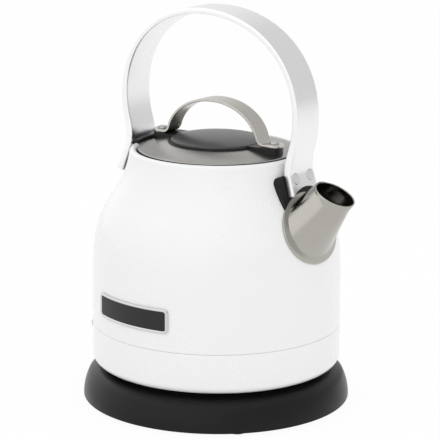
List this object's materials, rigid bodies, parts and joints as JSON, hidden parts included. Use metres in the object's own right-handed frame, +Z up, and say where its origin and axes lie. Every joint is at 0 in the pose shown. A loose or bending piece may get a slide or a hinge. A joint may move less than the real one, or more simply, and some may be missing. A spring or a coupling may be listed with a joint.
{
  "type": "electric kettle",
  "caption": "Cordless electric kettle with a bell-shaped white body, hoop handle, steel spout, lift-off lid with a strap, and a round black power base.",
  "frame": {"origin": "on the table under the middle of the round base, on the axis that the base, body and lid share", "axes": "+Z up along that axis, +X towards the spout; the hoop handle and the lid's strap lie in the XZ plane"},
  "size_m": [0.2005, 0.1737, 0.2565],
  "materials": {
    "base_black": "satin moulded black",
    "base_under": "matte moulded black",
    "foot_rubber": "matte rubber",
    "screw_steel": "zinc-plated steel",
    "gland_black": "matte black",
    "connector_black": "semi-gloss black",
    "contact_brass": "plated brass",
    "collar_black": "matte black",
    "body_white": "gloss white paint",
    "kettle_black": "matte moulded black",
    "vessel_steel": "fine brushed stainless steel",
    "seal_clear": "translucent silicone",
    "seal_black": "black silicone",
    "spreader_aluminium": "mill finish",
    "element_steel": "heat-tinted sheath",
    "control_cream": "glass-filled nylon",
    "bimetal": "bimetal strip",
    "tube_plastic": "natural moulding",
    "switch_grey": "matte grey moulding",
    "trip_red": "red moulding",
    "paddle_clear": "frosted clear moulding",
    "led_blue": "clear blue lamp",
    "spout_steel": "brushed stainless steel",
    "clip_grey": "matte grey moulding",
    "filter_white": "natural moulding",
    "mesh_steel": "fine stainless mesh",
    "handle_aluminium": "satin outside, polished inside",
    "bracket_black": "satin moulded black",
    "rivet_aluminium": "satin rivet heads",
    "badge_chrome": "bright frame",
    "badge_black": "plain black plate",
    "lid_steel": "circular brushed stainless steel",
    "lid_black": "matte moulded black",
    "carrier_black": "satin moulded black",
    "dome_grey": "dark satin moulding",
    "strap_steel": "satin stainless steel",
    "button_steel": "bright button heads"
  },
  "bodies": {
    "base": {"base_cover": "base_black", "base_pan": "base_under", "cord_tray": "base_under", "cord_spool": "base_under", "base_feet": "foot_rubber", "base_screws": "screw_steel", "cord_gland": "gland_black", "cord_clamp": "screw_steel", "connector_post": "connector_black", "post_contacts": "contact_brass"},
    "collar": {"contact_collar": "collar_black"},
    "kettle": {"lower_skirt": "body_white", "bottom_cover": "kettle_black", "cover_screws": "screw_steel", "vessel_floor": "vessel_steel", "floor_seal": "seal_clear", "heat_spreader": "spreader_aluminium", "heating_element": "element_steel", "control_unit": "control_cream", "control_contacts": "contact_brass", "cutout_discs": "bimetal", "control_screws": "screw_steel", "steam_tube": "tube_plastic", "steam_switch": "switch_grey", "steam_disc": "bimetal", "switch_housing": "body_white", "indicator_led": "led_blue", "body_shell": "body_white", "mouth_ring": "vessel_steel", "spout": "spout_steel", "spout_seal": "seal_black", "filter_clip": "clip_grey", "handle_band": "handle_aluminium", "front_bracket": "bracket_black", "rear_bracket": "bracket_black", "handle_rivets": "rivet_aluminium", "badge_frame": "badge_chrome", "badge_plate": "badge_black"},
    "lid": {"lid_cover": "lid_steel", "lid_plug": "lid_black", "lid_gasket": "seal_black", "lid_carrier": "carrier_black", "lid_dome": "dome_grey", "lid_strap": "strap_steel", "strap_screws": "button_steel", "lid_screws": "screw_steel"},
    "filter": {"filter_frame": "filter_white", "filter_mesh": "mesh_steel"},
    "lever": {"switch_lever": "paddle_clear"},
    "trip": {"trip_lever": "trip_red"}
  },
  "joints": [
    {"name": "kettle_turn", "type": "hinge", "parent": "base", "child": "collar", "pos_m": [0, 0, 0.02], "axis": [0, 0, 1], "continuous": true},
    {"name": "kettle_lift", "type": "slide", "parent": "collar", "child": "kettle", "axis": [0, 0, 1], "range_m": [0, 0.12]},
    {"name": "lid_lift", "type": "slide", "parent": "kettle", "child": "lid", "axis": [0, 0, 1], "range_m": [0, 0.04]},
    {"name": "filter_slide", "type": "slide", "parent": "kettle", "child": "filter", "axis": [-0.5736, 0, 0.8192], "range_m": [0, 0.01]},
    {"name": "switch_turn", "type": "hinge", "parent": "kettle", "child": "lever", "pos_m": [-0.08, 0, 0.033], "axis": [0, -1, 0], "range_deg": [0, 12]},
    {"name": "trip_turn", "type": "hinge", "parent": "kettle", "child": "trip", "pos_m": [-0.056, 0, 0.036], "axis": [0, -1, 0], "range_deg": [-8.5, 0]}
  ],
  "couplings": [
    {"joint": "trip_turn", "follows": "switch_turn", "ratio": -0.69}
  ]
}
